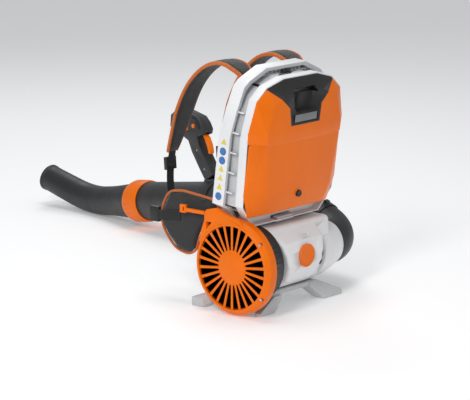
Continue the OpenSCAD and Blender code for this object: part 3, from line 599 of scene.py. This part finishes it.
coverScrews = {"angles": (35, -38), "circle": .112, "sunk": .0034, "radius": .0039, "high": .0022}
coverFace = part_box("intake_cover")[0][0]
screwSpots = [fanCentre + Vector((coverFace + coverScrews["sunk"], -coverScrews["circle"] * math.cos(a),
                                  -coverScrews["circle"] * math.sin(a)))
              for a in (math.radians(angle) for angle in coverScrews["angles"])]
addScrews("coverScrewHeads", screwSpots, (-1, 0, 0), coverScrews["radius"], coverScrews["high"], "backframe",
          ("cover_screws",))
print("intake done")

# badge and blank label, both without any mark
badge = {"radius": .0288, "rim": .0022, "high": .0052}


def addBadge(b):
    low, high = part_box("housing_badge")
    centre = Vector(((low[0] + high[0]) / 2, high[1], (low[2] + high[2]) / 2))
    radius, rim, top = b["radius"], b["rim"], b["high"]
    profile = [(0, top - .0006), (radius * .6, top - .0008), (radius - rim - .0012, top - .0012),
               (radius - rim, top - .0003), (radius - .0008, top - .0001), (radius, top - .0008),
               (radius, 0), (0, 0)]
    bm = bmesh.new()
    loft(bm, [[centre + Vector((r * math.cos(a), -y, r * math.sin(a)))
               for a in (2 * math.pi * j / 64 for j in range(64))] for r, y in profile], False)
    bmesh.ops.remove_doubles(bm, verts=bm.verts, dist=1e-6)
    addMesh("badgePlate", bm, "orange", "backframe", ("housing_badge",))


addBadge(badge)
softened("battery_label", "label", "battery", .0004)


def addBlock(bm, corners, thick, out):
    # a thin plate over a flat outline of points, raised along out
    low = [bm.verts.new(p) for p in corners]
    high = [bm.verts.new(p + out * thick) for p in corners]
    bm.faces.new(low)
    bm.faces.new(high)
    for i in range(len(low)):
        j = (i + 1) % len(low)
        bm.faces.new((low[i], low[j], high[j], high[i]))


labelRim = {"half": .0408, "low": .2822, "high": .2988, "line": .0009, "depth": -.10405}


def addLabelRim(r):
    bm = bmesh.new()
    out = -leanOut
    h, a, b, t = r["half"], r["low"], r["high"], r["line"]
    sides = ((-h, h, a, a + t), (-h, h, b - t, b), (-h, -h + t, a + t, b - t), (h - t, h, a + t, b - t))
    for x0, x1, z0, z1 in sides:
        corners = [lean(x, r["depth"], z) for x, z in ((x0, z0), (x1, z0), (x1, z1), (x0, z1))]
        addBlock(bm, corners, .0003, out)
    addMesh("labelBorder", bm, "pale", "battery")


addLabelRim(labelRim)

# short raised marks and seams on the battery and the housing
marks = {"line": .0011, "high": .0007, "catchHalf": .0105, "catchFace": -.1322, "catchThick": .003,
         "catchLow": .1795, "catchHigh": .1845}


def addMarks(m):
    bm = bmesh.new()
    out = -leanOut
    for x0, x1, h0, h1, depth in ((-.138, -.112, .262, .270, -.0925), (.112, .138, .270, .262, -.0925)):
        a, b = lean(x0, depth, h0), lean(x1, depth - .006, h1)
        lift = leanUp * m["line"]
        addBlock(bm, [a, b, b + lift, a + lift], m["high"], out)
    addMesh("batteryMarks", bm, "orange", "battery")
    bm = bmesh.new()      # the housing's small catch
    half, low, high = m["catchHalf"], m["catchLow"], m["catchHigh"]
    outline = ((-half, low), (half, low), (half, high), (-half, high))
    corners = [Vector((x, m["catchFace"], z)) for x, z in outline]
    addBlock(bm, corners, m["catchThick"], Vector((0, -1, 0)))
    addMesh("housingCatch", bm, "pale", "backframe")


addMarks(marks)

# blank stickers up the outer side of the frame's left rim
stickers = {"first": .098, "step": .0232, "count": 7, "size": .0098, "depth": -.0125}


def addStickers(s):
    looks = {"sticker": bmesh.new(), "stickerBlue": bmesh.new(), "label": bmesh.new()}
    out = Vector((-1, 0, 0))

    def rimX(height):
        return -(.19205 - .002 * (height - .076) / .174)

    strip = [lean(rimX(h), s["depth"] + d, h) for d, h in
             ((-.0125, .084), (.0125, .084), (.0125, .2455), (-.0125, .2455))]
    addBlock(looks["label"], strip, .0001, out)
    for i in range(s["count"]):
        height = s["first"] + i * s["step"] * .96
        isRound = i in (0, 4, 5)
        sides = 22 if isRound else 3
        corners = [lean(rimX(height) - .0002, s["depth"] + s["size"] * math.cos(a),
                        height - .001 + s["size"] * math.sin(a))
                   for a in (math.pi / 2 + 2 * math.pi * j / sides for j in range(sides))]
        addBlock(looks["stickerBlue" if isRound else "sticker"], corners, .0002, out)
    for look, bm in looks.items():
        shown = "white" if look == "label" else look
        addMesh("rimSticker" + look[0].upper() + look[1:], bm, shown, "backframe")


addStickers(stickers)
print("plates done")

# pleated hose, in two halves that meet in the middle ring
hose = {"outer": .057, "root": .0528, "pleats": 15, "perPleat": 8, "sides": 56}
elbowRise = math.radians(22)
hoseIn = Vector((.2552, -.055 + .0643 * math.cos(elbowRise), .12 + .0643 * math.sin(elbowRise)))
hoseInWay = Vector((0, math.cos(elbowRise), math.sin(elbowRise)))
pipeWay = (pipeTurn.to_3x3() @ Vector((0, 1, 0))).normalized()
hoseOut = Vector((.474, .997, .0395)) - pipeWay * .8503
hoseReach = (hoseOut - hoseIn).length / 3


def hoseAt(t):
    b, c = hoseIn + hoseInWay * hoseReach, hoseOut - pipeWay * hoseReach
    return (1 - t) ** 3 * hoseIn + 3 * (1 - t) ** 2 * t * b + 3 * (1 - t) * t * t * c + t ** 3 * hoseOut


def hoseWay(t):
    return (hoseAt(min(t + .001, 1)) - hoseAt(max(t - .001, 0))).normalized()


def addHose(name, t0, t1, node):
    bm = bmesh.new()
    steps = hose["pleats"] * hose["perPleat"]
    outside, inside = [], []
    for i in range(steps + 1):
        t = t0 + (t1 - t0) * i / steps
        way = hoseWay(t)
        side = way.cross(Vector((0, 0, 1))).normalized()
        up = way.cross(side)
        wave = .5 - .5 * math.cos(2 * math.pi * i / hose["perPleat"])
        r = hose["root"] + (hose["outer"] - hose["root"]) * wave ** .6
        for rings, radius in ((outside, r), (inside, r - .0022)):
            rings.append([hoseAt(t) + radius * (math.cos(a) * side + math.sin(a) * up)
                          for a in (2 * math.pi * j / hose["sides"] for j in range(hose["sides"]))])
    loft(bm, outside + inside[::-1] + [outside[0]], False)
    bmesh.ops.remove_doubles(bm, verts=bm.verts, dist=1e-7)
    piece = addMesh(name, bm, "hose", None, (node,), 60)
    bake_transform(piece)


addHose("hoseRearPleats", .0, .492, "hose_rear")
addHose("hoseFrontPleats", .508, 1.0, "hose_front")
print("hose done")

# nozzle, one smooth bent horn
nozzle = {"tube": .054, "mouth": .038, "bend": 26, "bendRadius": .33, "tilt": 24.5, "bendSize": .042,
          "tip": .112, "cone": .161, "wall": .0026, "sides": 72}


def addNozzle(n):
    bend, tilt = math.radians(n["bend"]), math.radians(n["tilt"])
    bendLong = n["bendRadius"] * bend
    total = n["cone"] + bendLong + n["tip"]
    place = pipeTurn @ Matrix.Translation((0, -.2147, 0))
    lift = Vector((-math.sin(tilt), 0, math.cos(tilt)))

    def at(s, r):
        b = 0 if s < n["cone"] else min((s - n["cone"]) / bendLong, 1) * bend
        past = max(s - n["cone"] - bendLong, 0)
        forward = .014 + min(s, n["cone"]) + n["bendRadius"] * math.sin(b) + past * math.cos(b)
        centre = Vector((0, forward, 0)) + lift * (n["bendRadius"] * (1 - math.cos(b)) + past * math.sin(b))
        upWay = Vector((0, -math.sin(b), 0)) + lift * math.cos(b)
        sideWay = Vector((0, 1, 0)).cross(lift)
        return [place @ (centre + r * (math.cos(a) * sideWay + math.sin(a) * upWay))
                for a in (2 * math.pi * j / n["sides"] for j in range(n["sides"]))]

    def size(s):
        if s < n["cone"]:
            start = n["tube"] - .0015
            return start + (n["bendSize"] - n["tube"] + .0015) * math.sin(math.pi / 2 * max(s, 0) / n["cone"])
        return n["bendSize"] + (n["mouth"] - n["bendSize"]) * (s - n["cone"]) / (total - n["cone"])

    steps = [(-.0138, .0528), (-.0134, .0536), (-.001, .0538), (.0006, .0533), (.0016, .0526)]
    steps += [(s, size(s)) for s in [.004 + (total - .015) * i / 70 for i in range(71)]]
    mouth = n["mouth"]
    steps += [(total - .0085, mouth + .0010), (total - .0078, mouth + .0016), (total - .0006, mouth + .0016),
              (total + .0002, mouth + .0011), (total + .0006, mouth + .0002)]
    inner = [(total + .0004, mouth - .0006), (total - .0006, mouth - .0014), (total - .016, mouth - .0016)]
    inner += [(s, size(s) - n["wall"]) for s in [(total - .02) - (total - .036) * i / 40 for i in range(41)]]
    inner += [(.0158, .0503), (-.0138, .0503)]
    bm = bmesh.new()
    loft(bm, [at(s, r) for s, r in steps + inner + steps[:1]], False)
    bmesh.ops.remove_doubles(bm, verts=bm.verts, dist=1e-7)
    addMesh("nozzleHorn", bm, "charcoal", "pipe_nozzle", ("nozzle",), 50)


addNozzle(nozzle)
print("nozzle done")

# shoulder pads: crowned, stitched channels, broad orange edge
straps = {"x": .1, "width": .07, "thick": .014, "edge": .0042, "webWidth": .025, "webThick": .0022}


def yz(y, z):
    return Vector((0, y / 1000, z / 1000))


shoulderLine = bezier((-35, 576), (-10, 606), (40, 622), (96, 574), 26, yz)
shoulderLine += bezier((96, 574), (150, 527), (162, 470), (204, 365), 32, yz)[1:]
webLine = [yz(201.5, 374), yz(203.8, 366)] + bezier((205, 358), (213, 320), (216, 268), (200, 246), 22, yz)
webLine += bezier((200, 246), (180, 218), (92, 222), (7, 224), 26, yz)[1:]


def normalsOf(line):
    result = []
    for i in range(len(line)):
        d = (line[min(i + 1, len(line) - 1)] - line[max(i - 1, 0)]).normalized()
        result.append(Vector((0, -d.z, d.y)))
    return result


def padShare(along, total):
    top, bottom = along, total - along      # the pad narrows towards its slider
    return min(1, .62 + top / .03 * .38, .50 + (bottom / .11) ** .8 * .5)


def addShoulderPad(side, s):
    label = "Left" if side < 0 else "Right"
    normals, along = normalsOf(shoulderLine), distances(shoulderLine)
    total = along[-1]
    columns = 22
    bm = bmesh.new()
    rings = []
    for i, p in enumerate(shoulderLine):
        near = min(along[i], total - along[i])
        endEase = min(1, .25 + (near / .012) ** .5 * .75) if near < .012 else 1
        narrow = padShare(along[i], total)
        channel = 1 - .20 * max(0, 1 - abs((along[i] % .052) - .026) / .0035)
        ring = []
        for j in range(2 * columns):
            top = j < columns
            u = -1 + 2 * (j / columns if top else (2 * columns - j) / columns)
            crown = (1 - abs(u) ** 3.2) ** .5
            sewn = channel if abs(u) < .78 else 1
            thick = (s["thick"] / 2 - .0004) * endEase * (.34 + .66 * crown * sewn)
            if abs(abs(u) - .78) < .06:
                thick *= .86    # the sewn line beside the edge
            out = Vector((side * s["x"] + u * (s["width"] / 2 - .0022) * narrow, 0, 0))
            ring.append(out + p + normals[i] * (thick if top else -thick))
        rings.append(ring)
    uAcross = [s["width"] * j / columns for j in range(2 * columns + 1)]
    loft(bm, rings, uvs=(uAcross, along))
    pad = addMesh("shoulderPad" + label, bm, "pad", "backframe", ("shoulder_pad_" + label.lower(),), 70)
    mod = pad.modifiers.new("round", "SUBSURF")
    mod.levels = mod.render_levels = 1
    bm = bmesh.new()
    for edge in (-1, 1):
        line = []
        for i, p in enumerate(shoulderLine):
            out = Vector((side * s["x"] + edge * (s["width"] / 2 - .0040) * padShare(along[i], total), 0, 0))
            line.append(out + p + normals[i] * .0009)
        tube(bm, line, s["edge"], 12, 1.25)
    addMesh("shoulderPiping" + label, bm, "piping", "backframe", (), 80)
    lines = []
    for edge in (-1, 1):
        inner = list(zip(shoulderLine, normals, along))[3:-3]
        lines.append([Vector((side * s["x"] + edge * s["width"] * .355 * padShare(d, total), 0, 0)) + p
                      + n * (s["thick"] / 2 - .0018) for p, n, d in inner])
    sizes = {"Pitch": .0045, "Thread": .00045, "Stitch": .0015}
    bakeTree(stitchTree, carrierOf("padSeam", lines, True), sizes, "shoulderStitches" + label, "thread",
             "backframe")


def ribbon(bm, line, centreX, width, thick):
    normals, along = normalsOf(line), distances(line)
    half = width / 2
    section = [(-half, -.3), (-half + .0006, -.5), (half - .0006, -.5), (half, -.3), (half, .3),
               (half - .0006, .5), (-half + .0006, .5), (-half, .3)]
    rings = [[Vector((centreX + x, 0, 0)) + p + n * (k * thick) for x, k in section]
             for p, n in zip(line, normals)]
    around = [0, .0006, width, width + .001, width + .002, width + .0026, 2 * width, 2 * width + .001,
              2 * width + .002]
    loft(bm, rings, uvs=(around, along))


def addWebbing(side, s):
    label = "Left" if side < 0 else "Right"
    bm = bmesh.new()
    ribbon(bm, webLine, side * s["x"], s["webWidth"], s["webThick"])
    addMesh("strapWebbing" + label, bm, "webbing", "backframe", ("strap_webbing_" + label.lower(),), 50)
    normals = normalsOf(webLine)
    lines = [[Vector((side * s["x"] + e * .0095, 0, 0)) + p + n * (s["webThick"] / 2 + .00005)
              for p, n in zip(webLine, normals)] for e in (-1, 1)]
    sizes = {"Pitch": .0042, "Thread": .00035, "Stitch": .0014}
    bakeTree(stitchTree, carrierOf("webSeam", lines, True), sizes, "webStitches" + label, "thread",
             "backframe")


for side in (-1, 1):
    addShoulderPad(side, straps)
    addWebbing(side, straps)
print("straps done")


# padded blocks blown up by cloth, for the back, waist and hip wings
def blowUp(mesh, cap, pressure=4.0, voxel=.0052):
    obj = bpy.data.objects.new("swelling", mesh)
    bpy.context.scene.collection.objects.link(obj)
    remesh = obj.modifiers.new("remesh", "REMESH")
    remesh.mode, remesh.voxel_size = "VOXEL", voxel
    graph = bpy.context.evaluated_depsgraph_get()
    start = bpy.data.meshes.new_from_object(obj.evaluated_get(graph), depsgraph=graph)
    obj.modifiers.remove(remesh)
    obj.data = start
    rest = [v.co.copy() for v in start.vertices]
    cloth = obj.modifiers.new("cloth", "CLOTH")
    cloth.settings.use_pressure = True
    cloth.settings.uniform_pressure_force = pressure
    cloth.settings.effector_weights.gravity = 0
    cloth.settings.quality = 4
    cloth.collision_settings.use_collision = False
    cloth.point_cache.frame_end = 20
    scene = bpy.context.scene
    for step in range(1, 17):
        scene.frame_set(step)
    graph = bpy.context.evaluated_depsgraph_get()
    blown = bpy.data.meshes.new_from_object(obj.evaluated_get(graph), depsgraph=graph)
    for vert, home in zip(blown.vertices, rest):
        move = vert.co - home
        if move.length > cap:
            vert.co = home + move * (cap / move.length)
    obj.modifiers.remove(cloth)
    scene.frame_set(1)
    bpy.data.objects.remove(obj)
    return blown


def smoothed(mesh, rounds):
    bm = bmesh.new()
    bm.from_mesh(mesh)
    for _ in range(rounds):
        bmesh.ops.smooth_vert(bm, verts=bm.verts, factor=.5, use_axis_x=True, use_axis_y=True,
                              use_axis_z=True)
    bm.to_mesh(mesh)
    bm.free()
    return mesh


# a closed cushion over a flat outline: a and b span the outline, out is its thickness
def cushionMesh(name, outline, centre, a, b, out, thick, inset=.004):
    bm = bmesh.new()
    rings = []
    middle = sum((Vector((p[0], p[1], 0)) for p in outline), Vector()) / len(outline)
    for k, shrink in ((-.36, 1), (-.16, 0), (.16, 0), (.36, 1)):
        ring = []
        for p in outline:
            q = Vector((p[0], p[1], 0)) - middle
            q = middle + q * (1 - (inset + .004 * shrink) / max(q.length, .01))
            ring.append(centre + a * q.x + b * q.y + out * (k * thick))
        rings.append(ring)
    loft(bm, rings)
    bmesh.ops.recalc_face_normals(bm, faces=bm.faces)
    bmesh.ops.triangulate(bm, faces=bm.faces)
    mesh = bpy.data.meshes.new(name)
    bm.to_mesh(mesh)
    bm.free()
    return mesh


def spread(points, step):
    result = []
    for i, p in enumerate(points):
        q = points[(i + 1) % len(points)]
        count = max(1, int(math.hypot(q[0] - p[0], q[1] - p[1]) / step))
        result += [(p[0] + (q[0] - p[0]) * k / count, p[1] + (q[1] - p[1]) * k / count) for k in range(count)]
    return result


def rounded(points, rounds=2):
    near, far = .78, .22
    for _ in range(rounds):
        cut = []
        for i, p in enumerate(points):
            q = points[(i + 1) % len(points)]
            cut.append((p[0] * near + q[0] * far, p[1] * near + q[1] * far))
            cut.append((p[0] * far + q[0] * near, p[1] * far + q[1] * near))
        points = cut
    return points


def limitTo(mesh, centre, out, half):
    for vert in mesh.vertices:
        d = (vert.co - centre).dot(out)
        if abs(d) > half:
            vert.co -= out * (d - math.copysign(half, d))


def addCushion(name, outline, centre, a, b, out, thick, look, body, node, channels=(), cap=.006):
    shape = rounded(spread(outline, .02), 1)
    mesh = smoothed(blowUp(cushionMesh(name, shape, centre, a, b, out, thick * .8), cap), 2)
    for vert in mesh.vertices:      # sewn channels pressed in after the swelling
        q = vert.co - centre
        for way, place, width, deep in channels:
            near = abs(q.dot(way) - place)
            if near < width:
                side = math.copysign(1, q.dot(out))
                vert.co -= out * side * deep * (1 - near / width) ** 2
    limitTo(mesh, centre, out, thick / 2 - .0004)
    piece = addPiece(name, mesh, look, body, node, 0)
    mod = piece.modifiers.new("round", "SUBSURF")
    mod.levels = mod.render_levels = 1


across = Vector((1, 0, 0))


def addBackPads():
    for side in (-1, 1):
        label = "Left" if side < 0 else "Right"
        centre = lean(side * .06, .0153, .2325)
        box = [(-.042, -.1025), (.042, -.1025), (.042, .1025), (-.042, .1025)]
        node = ("back_pad",) if side < 0 else ()
        channels = [(leanUp, z, .006, .004) for z in (-.05, 0, .05)]
        addCushion("backCushion" + label, box, centre, across, leanUp, leanOut, .019, "backPad", "backframe",
                   node, channels)
    centre = lean(0, .0173, .077)
    box = [(-.143, -.037), (.143, -.037), (.143, .037), (-.143, .037)]
    channels = [(across, x, .006, .004) for x in (-.095, -.048, 0, .048, .095)]
    addCushion("lumbarCushion", box, centre, across, leanUp, leanOut, .023, "backPad", "backframe",
               ("lumbar_pad",), channels)
    bm = bmesh.new()
    edge = rounded(spread([(-.139, -.034), (.139, -.034), (.139, .034), (-.139, .034)], .03), 1)
    line = [centre + across * p[0] + leanUp * p[1] + leanOut * .0035 for p in edge]
    tube(bm, line + line[:2], .0028, 8)
    addMesh("lumbarPiping", bm, "piping", "backframe", (), 80)


addBackPads()
print("back pads done")

wings = {"x": .1575, "thick": .015}
wingOutline = [(3, 230), (24, 220), (48, 194), (64, 164), (74, 136), (100, 122), (142, 130), (172, 158),
               (194, 192), (192, 240), (168, 282), (120, 290), (60, 284), (0, 276)]


def addWing(side, w):
    label = "Left" if side < 0 else "Right"
    body = "belt_" + label.lower()
    centre = Vector((side * w["x"], .1, .21))
    outline = [(y / 1000 - .1, z / 1000 - .21) for y, z in wingOutline]
    forward, up = Vector((0, 1, 0)), Vector((0, 0, 1))
    slant = (forward * .8 + up * .6).normalized()
    channels = [(slant, -.012, .006, .0035)]
    addCushion("hipWing" + label, outline, centre, forward, up, across, w["thick"], "wingPad", body,
               ("hip_wing_" + label.lower(),), channels, .005)
    edge = rounded(spread(outline, .025), 2)
    bm = bmesh.new()
    line = []
    middle = Vector((0, 0, -.005))
    for y, z in edge:
        q = Vector((0, y, z))
        q = middle + (q - middle) * (1 - .0052 / max((q - middle).length, .02))
        line.append(centre + q)
    tube(bm, line + line[:2], .0033, 10)
    addMesh("wingPiping" + label, bm, "piping", body, (), 80)
    seam = [centre + Vector((side * (w["thick"] / 2 - .0012), y * .86, z * .86)) for y, z in edge]
    sizes = {"Pitch": .0048, "Thread": .00045, "Stitch": .0016}
    bakeTree(stitchTree, carrierOf("wingSeam", [seam + seam[:1]], True), sizes, "wingStitches" + label,
             "thread", body)


for side in (-1, 1):
    addWing(side, wings)
print("wings done")

# belt webbing that holds each half of the hip buckle
def addBelt(side):
    label = "Left" if side < 0 else "Right"
    places = ((.120, .224), (.140, .2215), (.160, .219), (.180, .2165), (.193, .2152))
    line = [Vector((0, y, z)) for y, z in places]
    bm = bmesh.new()
    x = side * (wings["x"] + wings["thick"] / 2 + .0006)
    rings = []
    for i, p in enumerate(line):
        reach = x if i < 4 else x - side * .002
        rings.append([Vector((reach + dx, p.y, p.z + dz)) for dx, dz in
                      ((-.001, -.0125), (.001, -.0125), (.001, .0125), (-.001, .0125))])
    loft(bm, rings, uvs=([0, .002, .027, .029, .054], distances(line)))
    addMesh("beltWebbing" + label, bm, "webbing", "belt_" + label.lower(), (), 50)


for side in (-1, 1):
    addBelt(side)

# floor
floorHalf = 30
floorMesh = bpy.data.meshes.new("studioFloor")
floorCorners = [(x * floorHalf, y * floorHalf, -.0005) for x, y in ((-1, -1), (1, -1), (1, 1), (-1, 1))]
floorMesh.from_pydata(floorCorners, [], [(0, 1, 2, 3)])
floor = bpy.data.objects.new("studioFloor", floorMesh)
bpy.context.scene.collection.objects.link(floor)
floorMat, nodes, links, shader = startMaterial("paleFloor", (.86, .865, .87), .75)
spot = nodes.new("ShaderNodeTexCoord").outputs["Object"]
tint = mixed(nodes, links, noiseOf(nodes, links, spot, .4), (.87, .875, .88), (.85, .855, .86))
links.new(tint, shader.inputs["Base Color"])
shader.inputs["Emission Color"].default_value = (1, 1, 1, 1)
shader.inputs["Emission Strength"].default_value = .20
floorMesh.materials.append(floorMat)

print("pieces finished")
